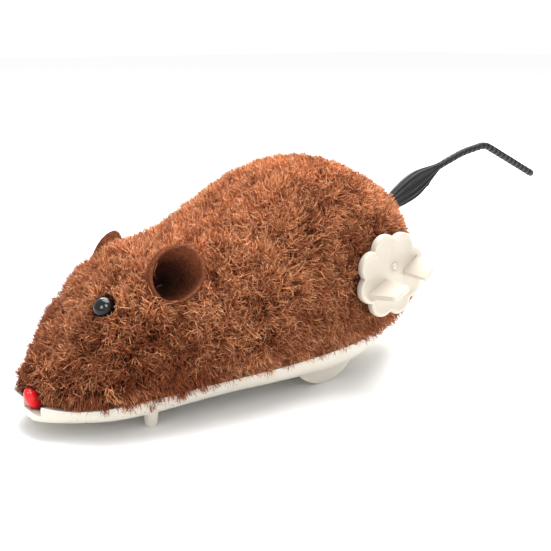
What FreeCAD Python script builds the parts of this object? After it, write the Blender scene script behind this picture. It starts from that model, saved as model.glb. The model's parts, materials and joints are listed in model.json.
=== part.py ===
import FreeCAD, Part
import math
import os
from FreeCAD import Vector as V

# Clockwork plush mouse. Millimetres, +Z up, nose towards -X, tail towards +X, winding key on the
# -Y flank. Everything is drawn from a point on the floor below the nose tip, with Y = 0 as the
# plane of symmetry, and then moved so that the origin is under the middle of the bounding box.

# Plush body: station x, half width, top height, half width and height of the lower edge
BODY_STATIONS = (
    (-1, 6, 15.5, 4.5, 7.0),
    (4, 11.5, 18.5, 10.5, 7.2),
    (9, 17.0, 23.5, 15.5, 7.7),
    (15, 21.5, 31.0, 19.0, 8.2),
    (23, 24.0, 39.0, 21.0, 8.6),
    (33, 26.5, 43.5, 22.5, 9.1),
    (45, 29.0, 46.0, 24.0, 9.6),
    (57, 31.0, 51.5, 26.0, 10.3),
    (69, 32.0, 58.0, 27.7, 11.3),
    (81, 32.4, 62.3, 28.5, 12.1),
    (93, 32.0, 62.5, 28.0, 13.0),
    (104, 28.5, 57.8, 24.8, 14.0),
    (114, 22.8, 52.5, 18.6, 14.8),
    (123, 16.5, 44.0, 12.0, 15.4),
    (129, 11.0, 35.5, 7.0, 15.8),
    (132.5, 5.5, 25.0, 4.0, 16.0),
)
SHOULDER = 0.32          # height of the widest line, as a fraction of each section
ROUNDNESS = 0.85         # exponent of the upper arch, below 1 for a fuller section
PLUSH_OUTSIDE = 1.5      # depth of each layer below the tips of the pile
PLUSH_INSIDE = 5.7
SHELL_OUTSIDE = 6.0
SHELL_INSIDE = 7.5
SMALLEST_SHARE = 0.25    # a section never gets narrower than this share of its full width
ARCH_STEPS = 8

# Base tray: station x, floor half width, floor height, rim half width, rim height
TRAY_STATIONS = (
    (-1.2, 5.2, 4.4, 7.2, 8.8),
    (1.5, 8.4, 4.1, 10.2, 8.2),
    (6.5, 12.2, 4.0, 14.4, 7.6),
    (13, 16.2, 4.0, 18.4, 8.0),
    (21, 18.4, 4.0, 20.8, 8.5),
    (33, 19.0, 4.1, 22.6, 9.1),
    (46, 20.0, 4.5, 24.2, 9.7),
    (60, 22.5, 5.0, 26.5, 10.5),
    (74, 25.0, 5.8, 28.0, 11.6),
    (88, 25.0, 6.9, 27.4, 12.6),
    (102, 20.0, 9.0, 22.8, 13.8),
    (114, 12.8, 11.4, 15.6, 14.8),
    (122, 7.0, 13.2, 9.6, 15.3),
    (126, 3.0, 14.2, 5.4, 15.6),
)
TRAY_WALL = 1.6
SKIRT_BULGE = 0.7
MOUTH_LOW_Y, MOUTH_HIGH_Y, MOUTH_FLOOR = -8.4, 0.2, 6.3   # the nose hangs over the rim's left half
NOSE_TRAY_GAP = 0.15
PEG_X, PEG_Y = 25.7, 16.8
PEG_TOP_RADIUS, PEG_FOOT_RADIUS, PEG_HEIGHT = 2.1, 1.6, 5.2

# Wheels and drive axle
AXLE_X, AXLE_Z = 80.5, 12.7
WHEEL_RADIUS = 12.7
WHEEL_OUTER_FACE = 22.0
WHEEL_WIDTH = 4.0
WHEEL_DOME = 0.8
WHEEL_HUB_RADIUS, WHEEL_HUB_LENGTH = 3.0, 1.4
AXLE_RADIUS = 1.0
WELL_RADIUS, WELL_SIDE_GAP = 13.7, 0.9
AXLE_GRIP = 3.0          # how deep the axle's end sits in a wheel

# Winding key and arbor
KEY_X, KEY_Z = 94.0, 32.6
KEY_FACE = -34.2
KEY_THICKNESS = 2.2
PETALS = 8
PETAL_CENTRE_RADIUS, PETAL_RADIUS = 8.0, 4.3
FIRST_PETAL_ANGLE = 20.5
LUG_TIP = -41.8
LUG_THICKNESS = 1.7
LUG_FEET = (((4.2, 0.1), (9.6, 4.6)), ((-1.7, -0.9), (-9.2, -4.3)))
LUG_BACKSET = 2.4        # the outer end's slope over the lug's height
NUB_X, NUB_Z, NUB_RADIUS, NUB_RECESS = 0.86, 2.38, 1.1, 0.9
DISH_RADIUS, DISH_FLOOR_RADIUS, DISH_DEPTH = 8.6, 7.8, 0.4
KEY_HUB_RADIUS, KEY_HUB_END, KEY_BORE_DEPTH = 3.5, -12.6, 14.0
KEY_HOLE_RADIUS = 4.6
ARBOR_RADIUS, ARBOR_JOURNAL = 2.0, 1.5
RUNNING_GAP = 0.05

# Clockwork motor
PLATE_THICKNESS = 0.6
PLATE_LEFT, PLATE_RIGHT = -10.0, 8.0      # facing sides of the two motor plates
MODULE = 0.6
PRESSURE_ANGLE = math.radians(25)
ADDENDUM, DEDENDUM = 0.8, 1.05            # in modules
BACKLASH = 0.12
GREAT_TEETH, WHEEL_TEETH, PINION_TEETH = 40, 28, 10
GEAR_WIDTH = 1.2
PINION_EXTRA = 0.4                        # a pinion is wider than its gear by this at each side
FIRST_MESH_Y, SECOND_MESH_Y = -6.4, -9.0  # lower faces of the two gear planes
STEP_ARBOR_RADIUS = 0.75
GREAT_WINDOWS = (72, 144, 216, 288)       # angles of the great gear's round windows
WINDOW_CENTRE_RADIUS, WINDOW_RADIUS = 7.8, 2.4
RATCHET_TEETH, RATCHET_TIP, RATCHET_ROOT, RATCHET_WIDTH, RATCHET_GAP = 16, 5.2, 4.3, 1.0, 0.25
CLICK_X, CLICK_TIP_X, CLICK_STRIP, CLICK_HEIGHT, CLICK_LENGTH = 7.6, 5.7, 0.5, 0.9, 7.6
CLICK_PAD_X, CLICK_PAD_RADIUS = 8.6, 1.5
PILLARS = ((75.5, 42.6), (75.0, 15.6), (103.6, 14.4), (93.0, 47.2))
PILLAR_RADIUS, SPIGOT_RADIUS, RIVET_HEIGHT = 1.5, 1.0, 0.2
SPRING_WIDTH, SPRING_STRIP = 7.5, 0.35
SPRING_FIRST_RADIUS, SPRING_PITCH, SPRING_HALF_TURNS = 2.5, 1.2, 14
FOOT_Z, FOOT_LENGTH, FOOT_WIDTH, FOOT_POST_RADIUS = 13.2, 5.2, 6.0, 2.2
FEET_X = (76.0, 98.5)
PLATE_OUTLINE = ((72, 10.6), (98, 10.6), (107.4, 13.2), (107.4, 34),
                 (97, 49), (89, 49), (73.5, 46), (72, 38))
PLATE_WINDOWS = ((77.5, 33.0, 9.0, 9.0), (91.5, 14.0, 8.5, 9.5))  # low x, low z, width, height

# Screws
SCREW_RADIUS, HEAD_RADIUS, HEAD_HEIGHT = 1.0, 1.9, 1.2
CASE_SCREWS = ((34.0, 10.0, 4.3, 9.0), (112.0, 7.0, 10.8, 14.5))  # x, y, head underside, joint height
CASE_SCREW_LENGTH, MOTOR_SCREW_LENGTH = 11.0, 3.6
SLOT_LENGTH, SLOT_WIDTH, SLOT_DEPTH = 2.4, 0.5, 0.6
COLUMN_RADIUS = 2.7
SHANK_GAP, HEAD_GAP, THREAD_GAP = 0.1, 0.2, 0.02

# Face
EYES = {-1: V(17.4, -10.0, 31.3), 1: V(18.8, 12.8, 28.2)}
EYE_RADIUS, EYE_SHANK = 2.9, 0.9
WASHER_DEPTHS = {-1: 12.3, 1: 8.8}        # from the eye's centre
WASHER_RADIUS, WASHER_THICKNESS = 2.2, 0.6
NOSE_CENTRE, NOSE_HALF_LENGTH, NOSE_RADIUS, NOSE_LEAN = V(0.3, -2.2, 8.9), 3.2, 1.9, 28.0
NOSE_SHANK_RADIUS, NOSE_SHANK_LENGTH, NOSE_SHANK_RISE = 0.9, 5.5, 0.25
EARS = {-1: V(33.0, -18.2, 32.8), 1: V(34.0, 17.2, 30.8)}
EAR_HEIGHT, EAR_HALF_WIDTH, EAR_FELT = 15.0, 6.8, 1.1
EAR_LEAN, EAR_TURN, EAR_CURL_RADIUS = 22.0, 45.0, 8.2
EAR_SINK = 1.0                            # how far the oval reaches below the ear's foot
EAR_STALK_HALF_WIDTH, EAR_STALK_LOW, EAR_STALK_HEIGHT = 4.0, -1.5, 6.0
EAR_OPENING = 1.5                         # the flap ends this far behind the middle of its curl

# Tail
TAIL_ROOT, TAIL_NECK, TAIL_TIP = (108, 36.5), (147, 54.3), (197, 47.6)
TAIL_CORNERS = ((158.5, 58.1, 40.0), (170.3, 60.0, 9.0))   # x, z and bend radius
TAIL_RADIUS, RING_RADIUS, RING_PITCH, RING_WIDTH = 1.1, 1.25, 2.4, 1.3
# distance from the neck towards the body, half width, half thickness
LEAF_STATIONS = ((0, 1.35, 1.2), (2.2, 1.75, 1.4), (5, 2.85, 1.8), (10, 4.5, 2.4),
                 (14.5, 4.5, 2.5), (19, 3.9, 2.4), (23, 2.6, 2.1))
TAIL_SHANK_RADIUS, TAIL_SHANK_LENGTH = 1.8, 24.0
RETAINER_RADIUS, RETAINER_THICKNESS, RETAINER_OFFSET = 3.4, 1.4, 0.6


def ring_y(radius, inner, y_low, length, x, z):
    """Tube or, with no inner radius, a rod about an axis along Y."""
    outer = Part.makeCylinder(radius, length, V(x, y_low, z), V(0, 1, 0))
    if inner:
        outer = outer.cut(Part.makeCylinder(inner, length + 2, V(x, y_low - 1, z), V(0, 1, 0)))
    return outer


def mirrored(shape):
    return shape.mirror(V(0, 0, 0), V(0, 1, 0))


def one_solid(shape):
    """The single solid in a boolean's result, with split faces merged."""
    return shape.removeSplitter().Solids[0]


def section_x(x, inset):
    """Moves a station towards the middle of the body by the inset at either end."""
    first, last = BODY_STATIONS[0][0], BODY_STATIONS[-1][0]
    return first + inset + (x - first) * (last - first - 2 * inset) / (last - first)


def body_section(station, inset, drop):
    x, half, top, rim_half, rim_z = station
    half = max(half - inset, SMALLEST_SHARE * half)
    rim_half = max(rim_half - inset, SMALLEST_SHARE * rim_half)
    top = max(top - inset, rim_z + 1)
    shoulder = rim_z + SHOULDER * (top - rim_z)
    points = [V(section_x(x, inset), -rim_half, rim_z - drop)]
    for step in range(ARCH_STEPS + 1):
        angle = math.pi * (1 - step / ARCH_STEPS)
        across = math.copysign(abs(math.cos(angle)) ** ROUNDNESS, math.cos(angle))
        up = abs(math.sin(angle)) ** ROUNDNESS
        points.append(V(section_x(x, inset), half * across, shoulder + (top - shoulder) * up))
    points.append(V(section_x(x, inset), rim_half, rim_z - drop))
    arch = Part.BSplineCurve()
    arch.interpolate(points)
    return Part.Wire([arch.toShape(), Part.makeLine(points[-1], points[0])])


def body_layer(inset, drop=0.0):
    return Part.makeLoft([body_section(s, inset, drop) for s in BODY_STATIONS], True)


def tray_section(station, inset, rise):
    x, floor_half, floor_z, rim_half, rim_z = station
    floor_half, rim_half = floor_half - inset, rim_half - inset
    floor_z, rim_z = floor_z + inset, rim_z + rise
    middle_y = (floor_half + rim_half) / 2 + SKIRT_BULGE
    middle_z = (floor_z + rim_z) / 2 - SKIRT_BULGE
    left = Part.Arc(V(x, -rim_half, rim_z), V(x, -middle_y, middle_z), V(x, -floor_half, floor_z))
    right = Part.Arc(V(x, floor_half, floor_z), V(x, middle_y, middle_z), V(x, rim_half, rim_z))
    floor = Part.makeLine(V(x, -floor_half, floor_z), V(x, floor_half, floor_z))
    top = Part.makeLine(V(x, rim_half, rim_z), V(x, -rim_half, rim_z))
    return Part.Wire([left.toShape(), floor, right.toShape(), top])


def tray_hull():
    return Part.makeLoft([tray_section(s, 0, 0) for s in TRAY_STATIONS], True)


def tray_hollow():
    first, last = TRAY_STATIONS[0][0], TRAY_STATIONS[-1][0]
    stations = []
    for x, floor_half, floor_z, rim_half, rim_z in TRAY_STATIONS:
        share = (x - first) / (last - first)
        inner_x = x + TRAY_WALL * (1 - 2 * share)
        stations.append((inner_x, floor_half, floor_z, rim_half, rim_z))
    return Part.makeLoft([tray_section(s, TRAY_WALL, 3) for s in stations], True)


def floor_height(x):
    """Outside height of the tray's floor, along a straight line between stations."""
    for near, far in zip(TRAY_STATIONS, TRAY_STATIONS[1:]):
        if x <= far[0]:
            return near[2] + (far[2] - near[2]) * (x - near[0]) / (far[0] - near[0])


def wheel_wells():
    width = WHEEL_WIDTH + 2 * WELL_SIDE_GAP + WHEEL_HUB_LENGTH
    low = -WHEEL_OUTER_FACE - WELL_SIDE_GAP
    well = ring_y(WELL_RADIUS, 0, low, width, AXLE_X, AXLE_Z)
    return [well, mirrored(well)]


def both_sides(points):
    return [(x, side * y, *rest) for x, y, *rest in points for side in (-1, 1)]


def base_tray():
    tray = tray_hull().cut(tray_hollow())
    posts = []
    holes = wheel_wells()
    for x, y, head_z, joint_z in both_sides(CASE_SCREWS):
        low = floor_height(x) + TRAY_WALL / 2
        posts.append(Part.makeCylinder(COLUMN_RADIUS, joint_z - low, V(x, y, low)))
        holes.append(Part.makeCylinder(SCREW_RADIUS + SHANK_GAP, 20, V(x, y, head_z)))
        holes.append(Part.makeCylinder(HEAD_RADIUS + HEAD_GAP, HEAD_HEIGHT + 3, V(x, y, head_z - 3)))
    for x, y in motor_feet():
        low = floor_height(x) + TRAY_WALL / 2
        posts.append(Part.makeCylinder(FOOT_POST_RADIUS, FOOT_Z - low, V(x, y, low)))
        holes.append(Part.makeCylinder(SCREW_RADIUS + THREAD_GAP, FOOT_Z - low, V(x, y, low + 0.6)))
    for side in (-1, 1):
        peg = Part.makeCone(PEG_FOOT_RADIUS, PEG_TOP_RADIUS, PEG_HEIGHT, V(PEG_X, side * PEG_Y, 0))
        posts.append(peg)
    tray = tray.fuse(posts).cut(holes)
    mouth = Part.makeBox(8, MOUTH_HIGH_Y - MOUTH_LOW_Y, 6, V(-4, MOUTH_LOW_Y, MOUTH_FLOOR))
    return one_solid(tray.cut([mouth, nose_bead(NOSE_TRAY_GAP)]))


def plush_cover():
    cover = body_layer(PLUSH_OUTSIDE).cut(body_layer(PLUSH_INSIDE, 4))
    cuts = wheel_wells() + [tray_hull(), key_passage(), tail_shank(0.3), nose_bead(0.1)]
    for side in (-1, 1):
        cuts.append(eye_bead(side, 0.05))
        cuts.append(ear_blank(side, 0.15))
    return one_solid(cover.cut(cuts))


def key_passage():
    return ring_y(KEY_HOLE_RADIUS, 0, -45, 40, KEY_X, KEY_Z)


def body_shell():
    cavity = body_layer(SHELL_INSIDE, 4)
    shell = body_layer(SHELL_OUTSIDE).cut(cavity)
    columns = []
    holes = wheel_wells() + [key_passage(), tail_shank(0.1), nose_bead(0.1)]
    for x, y, head_z, joint_z in both_sides(CASE_SCREWS):
        column = Part.makeCylinder(COLUMN_RADIUS, 60, V(x, y, joint_z))
        columns.append(column.common(body_layer(SHELL_OUTSIDE + 0.5, 1)))
        holes.append(Part.makeCylinder(SCREW_RADIUS + THREAD_GAP, 12, V(x, y, joint_z - 1)))
    for side in (-1, 1):
        holes.append(eye_shank(side, 0.05))
    return one_solid(shell.fuse(columns).cut(holes))


def eye_direction(side):
    """Outward direction of an eye."""
    return V(-0.42, side * 0.62, 0.66).normalize()


def eye_shank(side, gap):
    length = WASHER_DEPTHS[side] + 2 * WASHER_THICKNESS
    return Part.makeCylinder(EYE_SHANK + gap, length, EYES[side], eye_direction(side) * -1)


def eye_bead(side, gap):
    return Part.makeSphere(EYE_RADIUS + gap, EYES[side]).fuse(eye_shank(side, gap))


def eye_washer(side):
    inward = eye_direction(side) * -1
    place = EYES[side] + inward * WASHER_DEPTHS[side]
    washer = Part.makeCylinder(WASHER_RADIUS, WASHER_THICKNESS, place, inward)
    return washer.cut(eye_shank(side, 0.02))


def nose_bead(gap):
    """Long bead that leans forward at its top, with the shank that holds it in the shell."""
    lean = math.radians(NOSE_LEAN)
    way = V(-math.sin(lean), 0, math.cos(lean))
    reach = NOSE_HALF_LENGTH - NOSE_RADIUS
    low, high = NOSE_CENTRE - way * reach, NOSE_CENTRE + way * reach
    pieces = [Part.makeSphere(NOSE_RADIUS + gap, low), Part.makeSphere(NOSE_RADIUS + gap, high),
              Part.makeCylinder(NOSE_SHANK_RADIUS + gap, NOSE_SHANK_LENGTH, NOSE_CENTRE,
                                V(1, 0, NOSE_SHANK_RISE))]
    return one_solid(Part.makeCylinder(NOSE_RADIUS + gap, 2 * reach, low, way).fuse(pieces))


def ear_blank(side, gap):
    """A felt ear: an egg-shaped flap bent round an upright cylinder, its hollow facing forward."""
    half, height = EAR_HALF_WIDTH + gap, EAR_HEIGHT + gap
    oval = Part.Wire([Part.Ellipse(V(0, 0, 0), height / 2, half).toShape()])
    oval.rotate(V(0, 0, 0), V(0, 1, 0), -90)
    flap = Part.Face(oval).extrude(V(40, 0, 0))
    flap.translate(V(-20, 0, height / 2 - EAR_SINK))
    stalk = Part.makeBox(12, 2 * EAR_STALK_HALF_WIDTH, EAR_STALK_HEIGHT,
                         V(-6, -EAR_STALK_HALF_WIDTH, EAR_STALK_LOW))
    axis_x = -EAR_CURL_RADIUS
    curl = Part.makeCylinder(EAR_CURL_RADIUS + gap, 30, V(axis_x, 0, -8))
    curl = curl.cut(Part.makeCylinder(EAR_CURL_RADIUS - EAR_FELT - gap, 30, V(axis_x, 0, -8)))
    front = Part.makeBox(40, 40, 40, V(axis_x + EAR_OPENING, -20, -10))
    ear = curl.common(flap.fuse(stalk)).common(front)
    ear.rotate(V(0, 0, 0), V(0, 1, 0), EAR_LEAN)
    ear.rotate(V(0, 0, 0), V(0, 0, 1), -side * EAR_TURN)
    ear.translate(EARS[side])
    return ear


def between(start, end, distance):
    """Point at a distance from start towards end, both (x, z) pairs in the plane Y = 0."""
    start_point, end_point = V(start[0], 0, start[1]), V(end[0], 0, end[1])
    return start_point + (end_point - start_point).normalize() * distance


def tail_shank(gap):
    root, neck = V(TAIL_ROOT[0], 0, TAIL_ROOT[1]), V(TAIL_NECK[0], 0, TAIL_NECK[1])
    return Part.makeCylinder(TAIL_SHANK_RADIUS + gap, TAIL_SHANK_LENGTH, root, neck - root)


def tail_leaf():
    neck_to_root = (V(TAIL_ROOT[0], 0, TAIL_ROOT[1]) - V(TAIL_NECK[0], 0, TAIL_NECK[1])).normalize()
    sections = []
    for distance, half_width, half_thickness in LEAF_STATIONS:
        centre = between(TAIL_NECK, TAIL_ROOT, distance)
        oval = Part.Wire([Part.Ellipse(V(0, 0, 0), half_width, half_thickness).toShape()])
        upright = V(-neck_to_root.z, 0, neck_to_root.x)
        oval.Placement = FreeCAD.Placement(centre, FreeCAD.Rotation(upright, V(0, 1, 0), neck_to_root))
        sections.append(oval)
    return Part.makeLoft(sections, True)


def tail_route():
    """Straight runs from the leaf's neck to the tip, each corner rounded by a tangent arc."""
    corners = [TAIL_NECK] + [corner[:2] for corner in TAIL_CORNERS] + [TAIL_TIP]
    points = [V(x, 0, z) for x, z in corners]
    edges, start = [], points[0]
    for before, corner, after, (_, _, radius) in zip(points, points[1:], points[2:], TAIL_CORNERS):
        back, ahead = (before - corner).normalize(), (after - corner).normalize()
        half_turn = (math.pi - back.getAngle(ahead)) / 2
        tangent = radius * math.tan(half_turn)
        middle = corner + (back + ahead).normalize() * radius * (1 / math.cos(half_turn) - 1)
        edges.append(Part.makeLine(start, corner + back * tangent))
        edges.append(Part.Arc(corner + back * tangent, middle, corner + ahead * tangent).toShape())
        start = corner + ahead * tangent
    edges.append(Part.makeLine(start, points[-1]))
    return Part.Wire(edges)


def tail_rings(edge):
    """Raised rings, evenly spaced along one edge of the tail's route."""
    count = max(int(edge.Length / RING_PITCH), 1)
    for index in range(count):
        place = edge.getParameterByLength((index + 0.5) * edge.Length / count)
        direction = edge.tangentAt(place)
        low = edge.valueAt(place) - direction * RING_WIDTH / 2
        yield Part.makeCylinder(RING_RADIUS, RING_WIDTH, low, direction)


def tail():
    route = tail_route()
    start, tip = V(TAIL_NECK[0], 0, TAIL_NECK[1]), V(TAIL_TIP[0], 0, TAIL_TIP[1])
    section = Part.Wire([Part.makeCircle(TAIL_RADIUS, start, route.Edges[0].tangentAt(0))])
    pieces = [tail_shank(0), route.makePipeShell([section], True, True), Part.makeSphere(TAIL_RADIUS, tip)]
    for edge in route.Edges:
        pieces += list(tail_rings(edge))
    return one_solid(tail_leaf().fuse(pieces))


def tail_retainer():
    """Pressed-on cap that holds the tail's shank inside the shell."""
    place = between(TAIL_ROOT, TAIL_NECK, RETAINER_OFFSET)
    along = V(TAIL_NECK[0] - TAIL_ROOT[0], 0, TAIL_NECK[1] - TAIL_ROOT[1])
    cap = Part.makeCylinder(RETAINER_RADIUS, RETAINER_THICKNESS, place, along)
    return cap.cut(tail_shank(0.01))


def involute(base_radius, radius):
    """Polar angle of the involute at a radius."""
    turn = math.sqrt(max((radius / base_radius) ** 2 - 1, 0))
    return turn - math.atan(turn)


def gear(teeth, y_low, width, bore, x, z, phase):
    """Spur gear about an axis along Y, with a tooth centred at the phase angle (degrees)."""
    pitch_radius = MODULE * teeth / 2
    base_radius = pitch_radius * math.cos(PRESSURE_ANGLE)
    root_radius = pitch_radius - DEDENDUM * MODULE
    tip_radius = pitch_radius + ADDENDUM * MODULE
    start_radius = max(base_radius, root_radius)
    half_angle = math.pi / 2 / teeth - BACKLASH / 4 / pitch_radius
    flank_shift = half_angle + involute(base_radius, pitch_radius)

    def point(radius, angle):
        return V(x + radius * math.cos(angle), y_low, z + radius * math.sin(angle))

    edges = []
    for tooth in range(teeth):
        middle = math.radians(phase) + 2 * math.pi * tooth / teeth
        following = middle + 2 * math.pi / teeth
        rising, falling = [], []
        for step in range(4):
            radius = start_radius + (tip_radius - start_radius) * step / 3
            offset = flank_shift - involute(base_radius, radius)
            rising.append(point(radius, middle - offset))
            falling.append(point(radius, middle + offset))
        falling.reverse()
        for side in (rising, falling):
            flank = Part.BSplineCurve()
            flank.interpolate(side)
            edges.append(flank.toShape())
        edges.append(Part.Arc(rising[-1], point(tip_radius, middle), falling[0]).toShape())
        low_offset = flank_shift - involute(base_radius, start_radius)
        foot = point(root_radius, middle + low_offset)
        next_foot = point(root_radius, following - low_offset)
        valley = point(root_radius, (middle + following) / 2)
        edges.append(Part.Arc(foot, valley, next_foot).toShape())
        if start_radius > root_radius:
            edges.append(Part.makeLine(falling[-1], foot))
            edges.append(Part.makeLine(next_foot, point(start_radius, following - low_offset)))
    outline = Part.Wire(Part.__sortEdges__(edges))
    body = Part.Face(outline).extrude(V(0, width, 0))
    if bore:
        body = body.cut(ring_y(bore, 0, y_low - 1, width + 2, x, z))
    return body.Solids[0]


def intermediate_axis():
    """Place of the intermediate arbor: one corner of the triangle of centre distances."""
    first = MODULE * (GREAT_TEETH + PINION_TEETH) / 2
    second = MODULE * (WHEEL_TEETH + PINION_TEETH) / 2
    along_x, along_z = AXLE_X - KEY_X, AXLE_Z - KEY_Z
    span = math.hypot(along_x, along_z)
    along = (first ** 2 - second ** 2 + span ** 2) / (2 * span)
    aside = math.sqrt(first ** 2 - along ** 2)
    x = KEY_X + along * along_x / span + aside * along_z / span
    z = KEY_Z + along * along_z / span - aside * along_x / span
    return x, z


def mesh_phase(from_x, from_z, to_x, to_z, teeth):
    """Phase that puts a tooth gap of the second gear on the line to the first gear."""
    toward = math.degrees(math.atan2(from_z - to_z, from_x - to_x))
    return toward + 180 / teeth


def petal_disc(thickness, y_low):
    disc = ring_y(PETAL_CENTRE_RADIUS, 0, y_low, thickness, KEY_X, KEY_Z)
    petals = []
    for index in range(PETALS):
        angle = math.radians(FIRST_PETAL_ANGLE + index * 360 / PETALS)
        x = KEY_X + PETAL_CENTRE_RADIUS * math.cos(angle)
        z = KEY_Z + PETAL_CENTRE_RADIUS * math.sin(angle)
        petals.append(ring_y(PETAL_RADIUS, 0, y_low, thickness, x, z))
    return disc.fuse(petals).removeSplitter()


def lug(inner, outer):
    """Finger lug: an upright plate on the key's face, its outer end sloping back."""
    start = V(KEY_X + inner[0], 0, KEY_Z + inner[1])
    end = V(KEY_X + outer[0], 0, KEY_Z + outer[1])
    along = (end - start).normalize()
    below = V(along.z, 0, -along.x)
    if below.z > 0:
        below = below * -1
    thick = below * LUG_THICKNESS

    def plate(y, foot, tip):
        corners = [foot, tip, tip + thick, foot + thick, foot]
        return Part.makePolygon([corner + V(0, y, 0) for corner in corners])

    low = plate(KEY_FACE + DISH_DEPTH + 0.2, start, end)
    high = plate(LUG_TIP, start + below * 0.2, end - along * LUG_BACKSET + below * 0.2)
    return Part.makeLoft([low, high], True, True)


def winding_key():
    key = petal_disc(KEY_THICKNESS, KEY_FACE)
    face = V(KEY_X, KEY_FACE, KEY_Z)
    dish = Part.makeCone(DISH_RADIUS, DISH_FLOOR_RADIUS, DISH_DEPTH, face, V(0, 1, 0))
    recess = ring_y(NUB_RADIUS + 0.5, 0, KEY_FACE, NUB_RECESS, KEY_X + NUB_X, KEY_Z + NUB_Z)
    hub_low = KEY_FACE + KEY_THICKNESS
    hub = ring_y(KEY_HUB_RADIUS, 0, hub_low, KEY_HUB_END - hub_low, KEY_X, KEY_Z)
    nub = Part.makeSphere(NUB_RADIUS, face + V(NUB_X, NUB_RECESS, NUB_Z))
    key = key.cut([dish, recess]).fuse([hub, nub] + [lug(*feet) for feet in LUG_FEET])
    bore = rod_y(ARBOR_JOURNAL, KEY_HUB_END - KEY_BORE_DEPTH, KEY_HUB_END + 1, KEY_X, KEY_Z)
    return one_solid(key.cut(bore))


def winding_arbor():
    """Steel arbor: journals in both plates, a thicker middle, and an end inside the key's hub."""
    low, high = KEY_HUB_END - KEY_BORE_DEPTH, PLATE_RIGHT + PLATE_THICKNESS + 1
    journal = ring_y(ARBOR_JOURNAL, 0, low, high - low, KEY_X, KEY_Z)
    middle_low = PLATE_LEFT + 0.1
    middle = ring_y(ARBOR_RADIUS, 0, middle_low, PLATE_RIGHT - 0.1 - middle_low, KEY_X, KEY_Z)
    return one_solid(journal.fuse(middle))


def ratchet_wheel():
    """Saw-toothed wheel, pressed on the winding arbor beside the great gear."""
    y_low = FIRST_MESH_Y + GEAR_WIDTH + RATCHET_GAP
    corners = []
    for index in range(RATCHET_TEETH):
        angle = 2 * math.pi * index / RATCHET_TEETH
        for radius in (RATCHET_ROOT, RATCHET_TIP):
            corners.append(V(KEY_X + radius * math.cos(angle), y_low, KEY_Z + radius * math.sin(angle)))
    wheel = Part.Face(Part.makePolygon(corners + corners[:1])).extrude(V(0, RATCHET_WIDTH, 0))
    return one_solid(wheel.cut(ring_y(ARBOR_RADIUS, 0, y_low - 1, 3, KEY_X, KEY_Z)))


def great_gear():
    wheel = gear(GREAT_TEETH, FIRST_MESH_Y, GEAR_WIDTH, ARBOR_RADIUS + RUNNING_GAP, KEY_X, KEY_Z,
                 great_gear_phase())
    windows = []
    for angle in GREAT_WINDOWS:
        x = KEY_X + WINDOW_CENTRE_RADIUS * math.cos(math.radians(angle))
        z = KEY_Z + WINDOW_CENTRE_RADIUS * math.sin(math.radians(angle))
        windows.append(ring_y(WINDOW_RADIUS, 0, FIRST_MESH_Y - 1, GEAR_WIDTH + 2, x, z))
    return one_solid(wheel.cut(windows))


def great_gear_phase():
    x, z = intermediate_axis()
    return math.degrees(math.atan2(z - KEY_Z, x - KEY_X))


def click_spring():
    """Leaf spring riveted to the great gear; its bent end rides on the ratchet teeth."""
    y_low = FIRST_MESH_Y + GEAR_WIDTH
    leaf_low = y_low + 0.3
    pad = ring_y(CLICK_PAD_RADIUS, 0, y_low, CLICK_STRIP, KEY_X + CLICK_PAD_X, KEY_Z)
    leaf = Part.makeBox(CLICK_STRIP, CLICK_HEIGHT, CLICK_LENGTH, V(KEY_X + CLICK_X, leaf_low, KEY_Z))
    reach = CLICK_X + CLICK_STRIP / 2 - CLICK_TIP_X
    tooth = Part.makeBox(reach, CLICK_HEIGHT, CLICK_STRIP,
                         V(KEY_X + CLICK_TIP_X, leaf_low, KEY_Z + CLICK_LENGTH - CLICK_STRIP))
    stand = Part.makeBox(1.4, CLICK_HEIGHT, 1.4, V(KEY_X + CLICK_X, y_low, KEY_Z - 0.7))
    return one_solid(pad.fuse([stand, leaf, tooth]))


def rod_y(radius, low, high, x, z):
    return ring_y(radius, 0, low, high - low, x, z)


def motor_plate(side):
    """Pressed steel plate with bearing holes, two windows and two feet bent outwards."""
    face = PLATE_LEFT if side < 0 else PLATE_RIGHT
    low = face - PLATE_THICKNESS if side < 0 else face
    outline = Part.makePolygon([V(x, low, z) for x, z in PLATE_OUTLINE + PLATE_OUTLINE[:1]])
    plate = Part.Face(outline).extrude(V(0, PLATE_THICKNESS, 0))
    cuts = []
    step_x, step_z = intermediate_axis()
    bearings = ((ARBOR_JOURNAL, KEY_X, KEY_Z), (AXLE_RADIUS, AXLE_X, AXLE_Z),
                (STEP_ARBOR_RADIUS, step_x, step_z))
    for radius, x, z in bearings:
        cuts.append(rod_y(radius + RUNNING_GAP, low - 1, low + 3, x, z))
    for x, z in PILLARS:
        cuts.append(rod_y(SPIGOT_RADIUS + 0.01, low - 1, low + 3, x, z))
    for x, z, width, height in PLATE_WINDOWS:
        cuts.append(Part.makeBox(width, 4, height, V(x, low - 1, z)))
    feet, holes = [], []
    for x, y in motor_feet():
        if (y < 0) == (side < 0):
            start = face - PLATE_THICKNESS - FOOT_LENGTH if side < 0 else face
            foot = Part.makeBox(FOOT_WIDTH, FOOT_LENGTH + PLATE_THICKNESS, PLATE_THICKNESS,
                                V(x - FOOT_WIDTH / 2, start, FOOT_Z))
            feet.append(foot)
            holes.append(Part.makeCylinder(SCREW_RADIUS + SHANK_GAP, 3, V(x, y, FOOT_Z - 1)))
    return one_solid(plate.cut(cuts).fuse(feet).cut(holes))


def motor_feet():
    reach = PLATE_THICKNESS + FOOT_LENGTH - COLUMN_RADIUS
    return [(x, y) for x in FEET_X for y in (PLATE_LEFT - reach, PLATE_RIGHT + reach)]


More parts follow.
